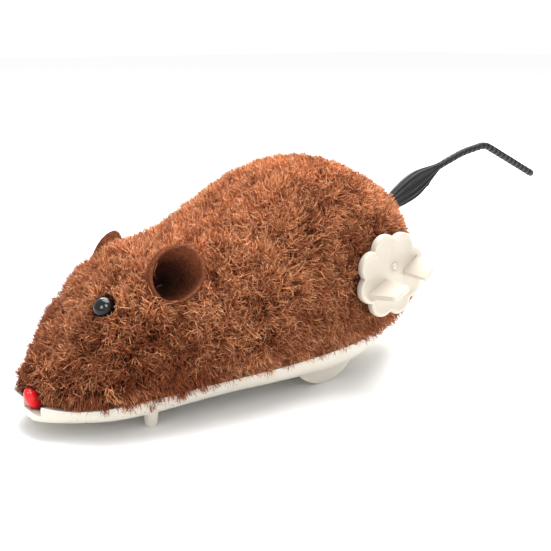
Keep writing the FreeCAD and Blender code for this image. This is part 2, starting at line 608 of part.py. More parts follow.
def motor_pillars():
    pillars = []
    for x, z in PILLARS:
        post = rod_y(PILLAR_RADIUS, PLATE_LEFT, PLATE_RIGHT, x, z)
        low, high = PLATE_LEFT - PLATE_THICKNESS, PLATE_RIGHT + PLATE_THICKNESS
        spigot = rod_y(SPIGOT_RADIUS, low, high, x, z)
        heads = [rod_y(PILLAR_RADIUS, low - RIVET_HEIGHT, low, x, z),
                 rod_y(PILLAR_RADIUS, high, high + RIVET_HEIGHT, x, z)]
        pillars.append(one_solid(post.fuse([spigot] + heads)))
    return Part.makeCompound(pillars)


def mainspring():
    """Spiral strip of half circles, run down; its centres step by half the pitch each half turn."""
    y_low = PLATE_RIGHT - 0.8 - SPRING_WIDTH
    step = SPRING_PITCH / 2

    def edge(extra):
        arcs = []
        for index in range(SPRING_HALF_TURNS):
            side = 1 if index % 2 == 0 else -1
            radius = SPRING_FIRST_RADIUS + index * step + extra
            centre = KEY_X - side * step / 2
            arcs.append(Part.Arc(V(centre + side * radius, y_low, KEY_Z),
                                 V(centre, y_low, KEY_Z + side * radius),
                                 V(centre - side * radius, y_low, KEY_Z)).toShape())
        return arcs

    inner, outer = edge(0), edge(SPRING_STRIP)
    first = Part.makeLine(inner[0].Vertexes[0].Point, outer[0].Vertexes[0].Point)
    last = Part.makeLine(inner[-1].Vertexes[-1].Point, outer[-1].Vertexes[-1].Point)
    outline = Part.Wire(Part.__sortEdges__(inner + outer + [first, last]))
    return Part.Face(outline).extrude(V(0, SPRING_WIDTH, 0)).Solids[0]


def wheel(side):
    """Plain moulded wheel with a slightly domed outer face and a short inner hub."""
    low = -WHEEL_OUTER_FACE + WHEEL_DOME
    body = ring_y(WHEEL_RADIUS, 0, low, WHEEL_WIDTH - WHEEL_DOME, AXLE_X, AXLE_Z)
    sphere_radius = (WHEEL_RADIUS ** 2 + WHEEL_DOME ** 2) / (2 * WHEEL_DOME)
    ball = Part.makeSphere(sphere_radius, V(AXLE_X, -WHEEL_OUTER_FACE + sphere_radius, AXLE_Z))
    cap = ball.common(ring_y(WHEEL_RADIUS, 0, low - WHEEL_DOME, WHEEL_DOME, AXLE_X, AXLE_Z))
    hub_low = -WHEEL_OUTER_FACE + WHEEL_WIDTH
    hub = ring_y(WHEEL_HUB_RADIUS, 0, hub_low, WHEEL_HUB_LENGTH, AXLE_X, AXLE_Z)
    body = body.fuse([cap, hub])
    bore = rod_y(AXLE_RADIUS, hub_low - AXLE_GRIP, hub_low + WHEEL_HUB_LENGTH + 1, AXLE_X, AXLE_Z)
    body = one_solid(body.cut(bore))
    return body if side < 0 else mirrored(body)


def screw(x, y, head_low, length, down):
    """Pan-head screw with a cross recess; the head sits on the side away from the shank."""
    head = Part.makeCylinder(HEAD_RADIUS, HEAD_HEIGHT, V(x, y, head_low))
    shank_low = head_low - length if down else head_low + HEAD_HEIGHT
    shank = Part.makeCylinder(SCREW_RADIUS, length, V(x, y, shank_low))
    slot_low = head_low + HEAD_HEIGHT - SLOT_DEPTH if down else head_low
    slots = []
    for length_x, length_y in ((SLOT_LENGTH, SLOT_WIDTH), (SLOT_WIDTH, SLOT_LENGTH)):
        corner = V(x - length_x / 2, y - length_y / 2, slot_low)
        slots.append(Part.makeBox(length_x, length_y, SLOT_DEPTH, corner))
    return one_solid(head.cut(slots).fuse(shank))


def case_screws():
    return Part.makeCompound([screw(x, y, head_z, CASE_SCREW_LENGTH, False)
                              for x, y, head_z, joint_z in both_sides(CASE_SCREWS)])


def motor_screws():
    return Part.makeCompound([screw(x, y, FOOT_Z + PLATE_THICKNESS, MOTOR_SCREW_LENGTH, True)
                              for x, y in motor_feet()])


def build():
    step_x, step_z = intermediate_axis()
    pinion_phase = mesh_phase(KEY_X, KEY_Z, step_x, step_z, PINION_TEETH)
    step_phase = math.degrees(math.atan2(AXLE_Z - step_z, AXLE_X - step_x))
    axle_phase = mesh_phase(step_x, step_z, AXLE_X, AXLE_Z, PINION_TEETH)
    axle_end = WHEEL_OUTER_FACE - WHEEL_WIDTH + AXLE_GRIP
    pinion_width = GEAR_WIDTH + 2 * PINION_EXTRA
    parts = {
        "base_tray": base_tray(),
        "body_shell": body_shell(),
        "fur_cover": plush_cover(),
        "nose": nose_bead(0),
        "tail": tail(),
        "tail_retainer": tail_retainer(),
        "eye_washers": Part.makeCompound([eye_washer(-1), eye_washer(1)]),
        "case_screws": case_screws(),
        "motor_screws": motor_screws(),
        "motor_pillars": motor_pillars(),
        "mainspring": mainspring(),
        "winding_key": winding_key(),
        "winding_arbor": winding_arbor(),
        "ratchet_wheel": ratchet_wheel(),
        "great_gear": great_gear(),
        "click_spring": click_spring(),
        "intermediate_arbor": rod_y(STEP_ARBOR_RADIUS, PLATE_LEFT - 1, PLATE_RIGHT + 1, step_x, step_z),
        "intermediate_gear": gear(WHEEL_TEETH, SECOND_MESH_Y, GEAR_WIDTH, STEP_ARBOR_RADIUS,
                                  step_x, step_z, step_phase),
        "intermediate_pinion": gear(PINION_TEETH, FIRST_MESH_Y - PINION_EXTRA, pinion_width,
                                    STEP_ARBOR_RADIUS, step_x, step_z, pinion_phase),
        "drive_axle": rod_y(AXLE_RADIUS, -axle_end, axle_end, AXLE_X, AXLE_Z),
        "axle_pinion": gear(PINION_TEETH, SECOND_MESH_Y - PINION_EXTRA, pinion_width, AXLE_RADIUS,
                            AXLE_X, AXLE_Z, axle_phase),
    }
    for name, side in (("left", -1), ("right", 1)):
        parts["ear_" + name] = one_solid(ear_blank(side, 0))
        parts["eye_" + name] = one_solid(eye_bead(side, 0))
        parts["motor_plate_" + name] = motor_plate(side)
        parts["wheel_" + name] = wheel(side)
    return parts


def main():
    parts = build()
    box = Part.makeCompound(list(parts.values())).optimalBoundingBox(False, False)
    shift = V(-(box.XMin + box.XMax) / 2, -(box.YMin + box.YMax) / 2, -box.ZMin)
    print("moved by", tuple(round(c, 4) for c in shift))
    print("box", [round(v, 3) for v in (box.XLength, box.YLength, box.ZLength)])
    os.makedirs("parts", exist_ok=True)
    for name, shape in parts.items():
        shape.translate(shift)
        shape.exportStep("parts/" + name + ".step")
        print(name, "solids", len(shape.Solids), "volume", round(shape.Volume, 1), shape.isValid())


main()
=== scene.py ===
import json
import math

import bmesh
import bpy
import numpy as np
from mathutils import Euler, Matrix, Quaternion, Vector
from mathutils.bvhtree import BVHTree
from mathutils.kdtree import KDTree


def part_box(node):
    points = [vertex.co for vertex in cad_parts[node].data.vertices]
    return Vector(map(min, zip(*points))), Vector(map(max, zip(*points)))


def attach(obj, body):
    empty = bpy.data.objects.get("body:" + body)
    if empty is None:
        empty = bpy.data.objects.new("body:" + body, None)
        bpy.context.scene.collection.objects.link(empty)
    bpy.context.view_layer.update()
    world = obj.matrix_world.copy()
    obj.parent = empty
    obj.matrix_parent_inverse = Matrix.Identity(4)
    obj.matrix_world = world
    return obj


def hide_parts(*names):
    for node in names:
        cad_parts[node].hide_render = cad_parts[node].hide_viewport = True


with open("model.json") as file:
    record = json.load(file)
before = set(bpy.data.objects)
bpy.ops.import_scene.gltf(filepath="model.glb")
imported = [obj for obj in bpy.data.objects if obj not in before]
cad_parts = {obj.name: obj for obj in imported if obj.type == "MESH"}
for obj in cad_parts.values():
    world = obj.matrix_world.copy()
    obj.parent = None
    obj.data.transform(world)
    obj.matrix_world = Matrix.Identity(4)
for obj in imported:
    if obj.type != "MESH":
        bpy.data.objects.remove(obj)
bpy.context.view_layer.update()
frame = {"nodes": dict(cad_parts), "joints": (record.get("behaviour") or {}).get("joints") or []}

MM = 0.001
rng = np.random.default_rng(11)

# ---------------------------------------------------------------- places read from the frame

tray_low, tray_high = (Vector(corner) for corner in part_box("base_tray"))
cover_low, cover_high = (Vector(corner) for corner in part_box("fur_cover"))
key_low, key_high = (Vector(corner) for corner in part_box("winding_key"))
nose_low, nose_high = (Vector(corner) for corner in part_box("nose"))
PLANE_Y = (tray_low.y + tray_high.y) / 2          # the mouse's plane of symmetry
NOSE_X = cover_low.x
LENGTH = cover_high.x - cover_low.x
KEY_X, KEY_Z = (joint["pos_m"][index] for joint in frame["joints"]
                if joint["name"] == "winding_turn" for index in (0, 2))


def at(x, y, z):
    """Point given in mm from the key's axis (x), the plane of symmetry (y) and the floor (z)."""
    return Vector((KEY_X + x * MM, PLANE_Y + y * MM, z * MM))


# ---------------------------------------------------------------- material helpers

def new_material(name, **sockets):
    """A material with one Principled shader, its plain settings given by socket name."""
    material = bpy.data.materials.new(name)
    material.use_nodes = True
    shader = material.node_tree.nodes["Principled BSDF"]
    for socket, value in sockets.items():
        shader.inputs[socket.replace("_", " ")].default_value = value
    return material, material.node_tree, shader


def node(tree, kind, **settings):
    made = tree.nodes.new("ShaderNode" + kind)
    for key, value in settings.items():
        setattr(made, key, value)
    return made


def noise(tree, scale, detail=3.0, roughness=0.5, vector=None):
    made = node(tree, "TexNoise")
    made.inputs["Scale"].default_value = scale
    made.inputs["Detail"].default_value = detail
    made.inputs["Roughness"].default_value = roughness
    place = vector or object_place(tree)
    tree.links.new(place, made.inputs["Vector"])
    return made.outputs["Fac"]


def object_place(tree):
    return node(tree, "TexCoord").outputs["Object"]


def surface_shares(tree):
    """U and V of the layer that pieces carry their shade and depth in."""
    split = node(tree, "SeparateXYZ")
    tree.links.new(node(tree, "UVMap", uv_map="OFBake").outputs["UV"], split.inputs[0])
    return split.outputs["X"], split.outputs["Y"]


def ramp(tree, factor, *stops):
    """Colour ramp with (position, (r, g, b)) stops."""
    made = node(tree, "ValToRGB")
    elements = made.color_ramp.elements
    while len(elements) < len(stops):
        elements.new(0.5)
    for element, (position, colour) in zip(elements, stops):
        element.position = position
        element.color = (*colour, 1)
    tree.links.new(factor, made.inputs["Fac"])
    return made.outputs["Color"]


def mix(tree, factor, first, second, blend="MIX"):
    made = node(tree, "Mix", data_type="RGBA", blend_type=blend)
    for socket, value in ((made.inputs[0], factor), (made.inputs[6], first), (made.inputs[7], second)):
        if isinstance(value, bpy.types.NodeSocket):
            tree.links.new(value, socket)
        elif isinstance(value, tuple):
            socket.default_value = (*value, 1)
        else:
            socket.default_value = value
    return made.outputs[2]


def bump(tree, shader, height, strength, distance):
    made = node(tree, "Bump")
    made.inputs["Strength"].default_value = strength
    made.inputs["Distance"].default_value = distance
    tree.links.new(height, made.inputs["Height"])
    tree.links.new(made.outputs["Normal"], shader.inputs["Normal"])


# ---------------------------------------------------------------- materials

def moulded_plastic(name, light, dark, roughness=0.38):
    """Injection-moulded plastic: faint cloudiness, fine orange peel, a little light inside."""
    material, tree, shader = new_material(name, Roughness=roughness, Subsurface_Weight=0.12,
                                          Subsurface_Scale=2 * MM, Coat_Weight=0.15, Coat_Roughness=0.25)
    shader.inputs["Subsurface Radius"].default_value = (1.0, 0.8, 0.6)
    cloud = noise(tree, 60, 4, 0.55)
    tree.links.new(ramp(tree, cloud, (0.3, dark), (0.7, light)), shader.inputs["Base Color"])
    bump(tree, shader, noise(tree, 900, 2), 0.12, 0.05 * MM)
    return material


def pile_material():
    """Plush pile: colour runs from root to tip along V, and from hair to hair along U, with painted shade
    at the roots and partly painted sheen at the tips.
    """
    material, tree, shader = new_material("plush_pile", Roughness=0.55, Specular_IOR_Level=0.12,
                                          Sheen_Weight=0.05, Sheen_Roughness=0.4)
    shader.inputs["Sheen Tint"].default_value = (1.0, 0.66, 0.45, 1)
    hair, along = surface_shares(tree)
    # Painted shade: both ramps fall to near black at the roots for the shade deep in the pile; the palest
    # tips are partly the fibres' own tone and partly painted sheen.
    deep = ramp(tree, along, (0.0, (0.018, 0.003, 0.001)), (0.40, (0.055, 0.010, 0.003)),
                (0.75, (0.165, 0.036, 0.010)), (1.0, (0.280, 0.070, 0.022)))
    pale = ramp(tree, along, (0.0, (0.060, 0.012, 0.003)), (0.40, (0.290, 0.075, 0.022)),
                (0.75, (0.850, 0.320, 0.120)), (1.0, (0.980, 0.580, 0.330)))
    tree.links.new(mix(tree, hair, deep, pale), shader.inputs["Base Color"])
    return material


def backing_material():
    """Dark woven backing under the pile."""
    material, tree, shader = new_material("plush_backing", Roughness=0.9)
    cloud = noise(tree, 700, 4, 0.6)
    colour = ramp(tree, cloud, (0.3, (0.030, 0.009, 0.004)), (0.7, (0.085, 0.026, 0.011)))
    tree.links.new(colour, shader.inputs["Base Color"])
    bump(tree, shader, noise(tree, 1500, 3), 0.6, 0.3 * MM)
    return material


def felt_material():
    """Brushed brown felt, with painted shade that darkens it towards the bottom of the ear's hollow, where
    V is 0.
    """
    material, tree, shader = new_material("ear_felt", Roughness=0.9, Specular_IOR_Level=0.04,
                                          Sheen_Weight=0.02, Sheen_Roughness=0.5)
    shader.inputs["Sheen Tint"].default_value = (0.9, 0.6, 0.45, 1)
    fine, coarse = noise(tree, 1600, 4, 0.6), noise(tree, 260, 3)
    fine_colour = ramp(tree, fine, (0.3, (0.100, 0.028, 0.012)), (0.7, (0.290, 0.090, 0.042)))
    shade = ramp(tree, coarse, (0.3, (0.65, 0.65, 0.65)), (0.7, (1.0, 1.0, 1.0)))
    felt = mix(tree, 1.0, fine_colour, shade, "MULTIPLY")
    # Painted shade: the felt turns near black towards the bottom of the hollow.
    depth = ramp(tree, surface_shares(tree)[1], (0.0, (0.03, 0.03, 0.03)), (0.4, (0.22, 0.20, 0.20)),
                 (0.75, (0.85, 0.82, 0.80)), (1.0, (1.0, 1.0, 1.0)))
    tree.links.new(mix(tree, 1.0, felt, depth, "MULTIPLY"), shader.inputs["Base Color"])
    bump(tree, shader, fine, 0.7, 0.25 * MM)
    return material


def nap_material():
    """Loose fibres on the felt: darker at their roots, paler than the felt at their tips."""
    material, tree, shader = new_material("ear_nap", Roughness=0.9, Specular_IOR_Level=0.05)
    hair, along = surface_shares(tree)
    deep = ramp(tree, along, (0.0, (0.060, 0.018, 0.008)), (1.0, (0.190, 0.066, 0.032)))
    pale = ramp(tree, along, (0.0, (0.130, 0.040, 0.018)), (1.0, (0.460, 0.180, 0.090)))
    tree.links.new(mix(tree, hair, deep, pale), shader.inputs["Base Color"])
    return material


def bead_material(name, colour, deep):
    """Polished bead: clear coat over colour that varies very slightly inside."""
    material, tree, shader = new_material(name, Roughness=0.10, Coat_Weight=0.2, Coat_Roughness=0.03,
                                          Specular_IOR_Level=0.2)
    tree.links.new(ramp(tree, noise(tree, 350), (0.3, deep), (0.7, colour)), shader.inputs["Base Color"])
    return material


def tail_material():
    """Soft black plastic with a dull sheen and faint flow marks."""
    material, tree, shader = new_material("tail_black", Roughness=0.42, Specular_IOR_Level=0.20)
    cloud = noise(tree, 400, 3)
    tree.links.new(ramp(tree, cloud, (0.3, (0.004, 0.004, 0.005)), (0.7, (0.011, 0.011, 0.012))),
                   shader.inputs["Base Color"])
    bump(tree, shader, noise(tree, 1800, 2), 0.25, 0.06 * MM)
    return material


def steel_material(name, light, dark, roughness):
    """Brushed metal, its marks stretched across one axis."""
    material, tree, shader = new_material(name, Metallic=1.0, Roughness=roughness)
    stretched = node(tree, "Mapping")
    stretched.inputs["Scale"].default_value = (1, 12, 1)
    tree.links.new(object_place(tree), stretched.inputs["Vector"])
    brushed = noise(tree, 300, 4, 0.6, stretched.outputs["Vector"])
    tree.links.new(ramp(tree, brushed, (0.3, dark), (0.7, light)), shader.inputs["Base Color"])
    return material


CREAM = moulded_plastic("cream_plastic", (0.66, 0.62, 0.54), (0.61, 0.57, 0.49))
KEY_CREAM = moulded_plastic("key_cream", (0.56, 0.505, 0.425), (0.52, 0.47, 0.39), 0.45)
SHELL = moulded_plastic("shell_plastic", (0.78, 0.74, 0.66), (0.72, 0.68, 0.60), 0.55)
NYLON = moulded_plastic("gear_nylon", (0.86, 0.86, 0.83), (0.80, 0.80, 0.76), 0.5)
PILE = pile_material()
BACKING = backing_material()
FELT = felt_material()
NAP = nap_material()
EYE_BLACK = bead_material("eye_black", (0.006, 0.006, 0.007), (0.003, 0.003, 0.004))
NOSE_RED = bead_material("nose_red", (0.80, 0.015, 0.020), (0.62, 0.008, 0.012))
TAIL_BLACK = tail_material()
STEEL = steel_material("motor_steel", (0.62, 0.62, 0.63), (0.50, 0.50, 0.52), 0.35)
BLUED = steel_material("spring_steel", (0.22, 0.24, 0.30), (0.15, 0.16, 0.20), 0.3)
ZINC = steel_material("screw_steel", (0.60, 0.60, 0.58), (0.48, 0.48, 0.47), 0.4)

NODE_MATERIALS = {
    "base_tray": CREAM, "wheel_left": CREAM, "wheel_right": CREAM, "winding_key": KEY_CREAM,
    "body_shell": SHELL, "eye_washers": NYLON, "tail_retainer": NYLON, "fur_cover": BACKING,
    "ear_left": FELT, "ear_right": FELT, "eye_left": EYE_BLACK, "eye_right": EYE_BLACK,
    "nose": NOSE_RED, "tail": TAIL_BLACK, "case_screws": ZINC, "motor_screws": ZINC,
    "motor_pillars": STEEL, "motor_plate_left": STEEL, "motor_plate_right": STEEL,
    "winding_arbor": STEEL, "ratchet_wheel": STEEL, "intermediate_arbor": STEEL, "drive_axle": STEEL,
    "mainspring": BLUED, "click_spring": BLUED, "great_gear": NYLON, "intermediate_gear": NYLON,
    "intermediate_pinion": NYLON, "axle_pinion": NYLON,
}


def dress(obj, material):
    obj.data.materials.clear()
    obj.data.materials.append(material)


for name, material in NODE_MATERIALS.items():
    dress(frame["nodes"][name], material)


# ---------------------------------------------------------------- mesh helpers

def add_object(name, mesh, material, body="mouse", smooth=True):
    obj = bpy.data.objects.new(name, mesh)
    bpy.context.collection.objects.link(obj)
    mesh.materials.append(material)
    if smooth:
        mesh.polygons.foreach_set("use_smooth", [True] * len(mesh.polygons))
    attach(obj, body)
    return obj


def grid_mesh(name, points, closed_rows=False, keep=None):
    """Quads over a (rows, columns, 3) array of points; keep is a mask of the usable points."""
    rows, columns = points.shape[:2]
    index = np.arange(rows * columns).reshape(rows, columns)
    across = np.roll(index, -1, axis=1) if closed_rows else index[:, 1:]
    near = index if closed_rows else index[:, :-1]
    quads = np.stack([near[:-1], across[:-1], across[1:], near[1:]], axis=-1).reshape(-1, 4)
    if keep is not None:
        quads = quads[keep.reshape(-1)[quads].all(axis=1)]
        used = np.unique(quads)
        renumber = np.zeros(rows * columns, int)
        renumber[used] = np.arange(len(used))
        points, quads = points.reshape(-1, 3)[used], renumber[quads]
    mesh = bpy.data.meshes.new(name)
    mesh.from_pydata(points.reshape(-1, 3).tolist(), [], quads.tolist())
    mesh.update()
    return mesh


def unit(vectors):
    return vectors / np.maximum(np.linalg.norm(vectors, axis=-1, keepdims=True), 1e-12)


def lofted(name, rings, closed_rows=True):
    """Quads over rings of points, with each end ring closed by one face."""
    points = np.array(rings)
    mesh = grid_mesh(name, points, closed_rows)
    loft = bmesh.new()
    loft.from_mesh(mesh)
    loft.verts.ensure_lookup_table()
    columns = points.shape[1]
    for start in (0, len(loft.verts) - columns):
        loft.faces.new(loft.verts[start:start + columns])
    bmesh.ops.recalc_face_normals(loft, faces=loft.faces)
    loft.to_mesh(mesh)
    loft.free()
    return mesh


def joined(name, meshes):
    """One mesh made of several separate ones."""
    whole = bmesh.new()
    for mesh in meshes:
        whole.from_mesh(mesh)
        bpy.data.meshes.remove(mesh)
    mesh = bpy.data.meshes.new(name)
    whole.to_mesh(mesh)
    whole.free()
    return mesh


def lathed(name, profile, place, axis, turns=40):
    """Turns (distance along the axis, radius) pairs round an axis."""
    side = axis.orthogonal().normalized()
    other = axis.cross(side)
    rings = []
    for along, radius in profile:
        ring = []
        for index in range(turns):
            angle = 2 * math.pi * index / turns
            ring.append(place + axis * along + (side * math.cos(angle) + other * math.sin(angle)) * radius)
        rings.append([tuple(point) for point in ring])
    return lofted(name, rings)


# ---------------------------------------------------------------- plush skin

SKIN_ROWS, SKIN_COLUMNS = 150, 120
END_FAN = 0.16                    # share of the rows that fans out round either end
FIRST_ANGLE = -62                 # degrees from the horizon where each row starts; -90 at the ends
SKIN_DEPTH = 4.0 * MM             # roots below the outside of the CAD cover
SNOUT_RISE = 2.6 * MM             # how much nearer to it they are on the snout
RUMP_SINK = 2.6 * MM              # how much deeper they are round the tail
BRIDGE_STEPS, DENT = 220, 0.12 * MM   # rounds that fill holes, and the dent that counts as one


def spine_rays():
    """Start points on a spine inside the body and outward directions, as a grid."""
    share = np.linspace(0, 1, SKIN_ROWS)
    tilt = np.clip((END_FAN - share) / END_FAN, 0, 1) - np.clip((share - 1 + END_FAN) / END_FAN, 0, 1)
    tilt = tilt * math.pi / 2 * 0.97
    along = np.clip((share - END_FAN) / (1 - 2 * END_FAN), 0, 1)
    starts = np.zeros((SKIN_ROWS, 3))
    starts[:, 0] = NOSE_X + LENGTH * (0.13 + 0.71 * along)
    starts[:, 1] = PLANE_Y
    starts[:, 2] = (14.5 + 15.5 * np.minimum(along * 1.6, 1)) * MM
    first = FIRST_ANGLE + (-90 - FIRST_ANGLE) * np.clip(np.abs(tilt) / 0.5, 0, 1)
    across = np.linspace(0, 1, SKIN_COLUMNS)
    angle = np.radians(first[:, None] + (180 - 2 * first[:, None]) * across)
    directions = np.zeros((SKIN_ROWS, SKIN_COLUMNS, 3))
    directions[..., 0] = -np.sin(tilt)[:, None]
    directions[..., 1] = -np.cos(tilt)[:, None] * np.cos(angle)
    directions[..., 2] = np.cos(tilt)[:, None] * np.sin(angle)
    return starts, directions


def rise(values, start, reach):
    """0 below start, 1 above start + reach, and straight between."""
    return np.clip((values - start) / reach, 0, 1)


def rim_height(x):
    """Height of the plush's lower edge, which rises slowly from the nose to the tail."""
    return (6.6 + 9.4 * rise(x - NOSE_X, 0, LENGTH)) * MM


def cover_distances(starts, directions):
    """How far the outside of the CAD cover is along each ray; holes are bridged over."""
    mesh = frame["nodes"]["fur_cover"].data
    tree = BVHTree.FromPolygons([v.co for v in mesh.vertices], [p.vertices for p in mesh.polygons])
    reach = 100 * MM
    distance = np.zeros(directions.shape[:2])
    for row, start in enumerate(starts):
        for column, direction in enumerate(directions[row]):
            outside = Vector(start + direction * reach)
            hit = tree.ray_cast(outside, Vector(-direction), reach)
            if hit[0] is not None:
                distance[row, column] = reach - hit[3]
    for _ in range(BRIDGE_STEPS):
        padded = np.pad(distance, 1, mode="edge")
        around = (padded[:-2, 1:-1] + padded[2:, 1:-1] + padded[1:-1, :-2] + padded[1:-1, 2:]) / 4
        distance = np.where(distance < around - DENT, around, distance)
    return distance


def pile_length(points):
    """Length of the hairs: short on the snout, full on the body, shorter again high on the rump."""
    behind, z = points[..., 0] - NOSE_X, points[..., 2]
    rump = rise(behind, 0.86 * LENGTH, 0.10 * LENGTH) * rise(z, 20 * MM, 8 * MM)
    return (4.9 + 2.2 * rise(behind, 0, 30 * MM) ** 0.8 - 2.0 * rump) * MM


def plush_skin():
    """Root surface of the pile as a grid, its normals, and which of its points lie above the rim."""
    starts, directions = spine_rays()
    distance = cover_distances(starts, directions)
    outside = starts[:, None, :] + directions * distance[..., None]
    along = np.gradient(outside, axis=0)
    around = np.gradient(outside, axis=1)
    normals = unit(np.cross(around, along))
    flip = np.sign(np.sum(normals * directions, axis=-1, keepdims=True))
    normals = normals * np.where(flip == 0, 1, flip)
    behind, z = outside[..., 0] - NOSE_X, outside[..., 2]
    depth = SKIN_DEPTH - SNOUT_RISE * np.clip(1 - behind / (42 * MM), 0, 1)
    depth += RUMP_SINK * rise(behind, 0.84 * LENGTH, 0.10 * LENGTH) * rise(z, 24 * MM, 10 * MM)
    skin = outside - normals * depth[..., None]
    keep = z > rim_height(outside[..., 0]) + 0.2 * MM
    keep &= (directions[..., 2] > -0.72) | (np.abs(directions[..., 1]) > 0.3)   # not the open underside
    return skin, normals, keep


skin_points, skin_normals, skin_keep = plush_skin()


# ---------------------------------------------------------------- face, ears and tail places

EYE_RADIUS = 2.9 * MM
FAR_EYE_SINK = 0.4 * MM           # the right bead is pulled a little deeper into the pile
EYE_LEAN = {"left": Vector((-0.42, -0.62, 0.66)), "right": Vector((-0.42, 0.62, 0.66))}
NOSE_CENTRE = Vector((nose_low.x + 2.5 * MM, (nose_low.y + nose_high.y) / 2,
                      (nose_low.z + nose_high.z) / 2))
NOSE_HALF_LENGTH, NOSE_RADIUS, NOSE_LEAN = 3.2 * MM, 1.9 * MM, math.radians(28)
EAR_HALF_WIDTH, EAR_HALF_HEIGHT, EAR_FELT = 5.9 * MM, 6.9 * MM, 0.8 * MM
EAR_DEPTH = {"left": 6.4 * MM, "right": 4.2 * MM}     # the right one opens further forward, and a
EAR_DROP = {"left": 0, "right": 1.2 * MM}             # full depth would reach the hard shell
EAR_OUT = {"left": 0, "right": 1.7 * MM}
EAR_TURN = {"left": math.radians(64), "right": math.radians(52)}
EAR_LEAN, EAR_ROLL = math.radians(20), math.radians(30)
TAIL_ROOT, TAIL_NECK, TAIL_TIP = at(14, 0, 36.5), at(53, 0, 54.3), at(103, 0, 47.6)
TAIL_CORNERS = ((at(64.5, 0, 58.1), 40 * MM), (at(76.3, 0, 60.0), 9 * MM))
KEY_DISC_BACK = key_low.y + 9.8 * MM      # y of the key disc's inner face


def eye_centre(side):
    """The bead is the outer part of the eye's box: up, forward and away from the middle."""
    low, high = (Vector(corner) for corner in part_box("eye_" + side))
    y = low.y + EYE_RADIUS if side == "left" else high.y - EYE_RADIUS - FAR_EYE_SINK
    return Vector((low.x + EYE_RADIUS, y, high.z - EYE_RADIUS))


def ear_frame(side):
    """Centre of an ear's mouth, and its directions across, up and out of the hollow."""
    low, high = (Vector(corner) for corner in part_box("ear_" + side))
    sign = -1 if side == "left" else 1
    out = Vector((-math.cos(EAR_TURN[side]), sign * math.sin(EAR_TURN[side]), 0))
    up = Vector((0, 0, math.cos(EAR_LEAN))) - out * math.sin(EAR_LEAN)
    out = (out * math.cos(EAR_LEAN) + Vector((0, 0, math.sin(EAR_LEAN)))).normalized()
    up = Quaternion(out, sign * EAR_ROLL) @ up
    centre = Vector(((low.x + high.x) / 2 + 1.0 * MM, (low.y + high.y) / 2,
                     high.z - EAR_HALF_HEIGHT - EAR_DROP[side])) + out * EAR_OUT[side]
    return centre, up.cross(out).normalized(), up.normalized(), out


# ---------------------------------------------------------------- pile

HAIR_COUNT, CLUMP_COUNT, NAP_COUNT = 210000, 7500, 5200
PILE_PIECES = 12
HAIR_WIDTH = 0.21 * MM
HAIR_ROWS = np.array([0.0, 0.35, 0.7, 1.0])       # share of the way from root to tip
HAIR_TAPER = np.array([0.8, 1.0, 0.9, 0.35])
UV_HALF_WIDTH = 0.02              # half of a hair's width in U
LEAN, SCATTER, CLUMP_SCATTER = 0.14, 0.62, 0.50
CURL = 1.1 * MM
# TOP_PAINTED_LIGHT is painted light: hairs on skin that faces up are made paler.
SHADE_MEAN, TOP_PAINTED_LIGHT = 0.22, 0.36                # 0 is the darkest hair and 1 the palest
CLUMP_SHADE_SPREAD, HAIR_SHADE_SPREAD = 0.24, 0.29
# Painted light and shade in the hair tones: shadow by the key and round the eyes, shade low on the head,
# light high on the rump.
KEY_PAINTED_SHADOW, CHEEK_PAINTED_SHADE, RUMP_PAINTED_LIGHT, EYE_PAINTED_SHADOW = 0.42, 0.32, 0.22, 0.40
RIM_REACH = 5 * MM                # the pile hangs down within this height of its lower edge


def scatter(count, skin, normals, keep):
    """Random root points on the skin, spread evenly by area, with their normals."""
    quad_ok = keep[:-1, :-1] & keep[1:, :-1] & keep[:-1, 1:] & keep[1:, 1:]
    p00, p10 = skin[:-1, :-1][quad_ok], skin[1:, :-1][quad_ok]
    p01, p11 = skin[:-1, 1:][quad_ok], skin[1:, 1:][quad_ok]
    n00, n11 = normals[:-1, :-1][quad_ok], normals[1:, 1:][quad_ok]
    area = np.linalg.norm(np.cross(p11 - p00, p10 - p01), axis=-1) / 2
    chosen = rng.choice(len(area), count, p=area / area.sum())
    u, v = rng.random((2, count, 1))
    points = ((1 - u) * (1 - v) * p00[chosen] + u * (1 - v) * p10[chosen]
              + (1 - u) * v * p01[chosen] + u * v * p11[chosen])
    return points, unit(n00[chosen] + n11[chosen]), area.sum()


def waves(points, wavelength, seed, turns=5):
    """Smooth random vector field: a few sine waves in random directions."""
    field_rng = np.random.default_rng(seed)
    total = np.zeros_like(points)
    for _ in range(turns):
        direction = unit(field_rng.normal(size=3)) * 2 * math.pi / wavelength / field_rng.uniform(0.7, 1.5)
        phase = field_rng.uniform(0, 2 * math.pi, 3)
        total += np.sin(points @ direction[:, None] + phase)
    return total / math.sqrt(turns / 2)


def lay_direction(points, normals):
    """Which way the pile leans: a little towards the tail, in small swirls, and down at the rim."""
    flow = np.tile(np.array([0.5, 0.0, -0.2]), (len(points), 1))
    flow = flow + 0.9 * waves(points, 24 * MM, 3) + 0.9 * waves(points, 8 * MM, 4)
    flow -= normals * np.sum(flow * normals, axis=1, keepdims=True)
    above_rim = (points[:, 2] - rim_height(points[:, 0])) / RIM_REACH
    hang = np.exp(-above_rim ** 2)[:, None]
    front = np.clip(1 - (points[:, 0] - NOSE_X) / (45 * MM), 0, 1)[:, None]
    outward = unit(normals * np.array([1.0, 1.0, 0.0]))
    return LEAN * flow + (1.25 + 0.9 * front) * hang * np.array([0.0, 0.0, -1.0]) + 0.7 * hang * outward


def nearest(points, targets):
    """Index of the nearest target to each point."""
    tree = KDTree(len(targets))
    for index, target in enumerate(targets):
        tree.insert(target, index)
    tree.balance()
    return np.array([tree.find(point)[1] for point in points])


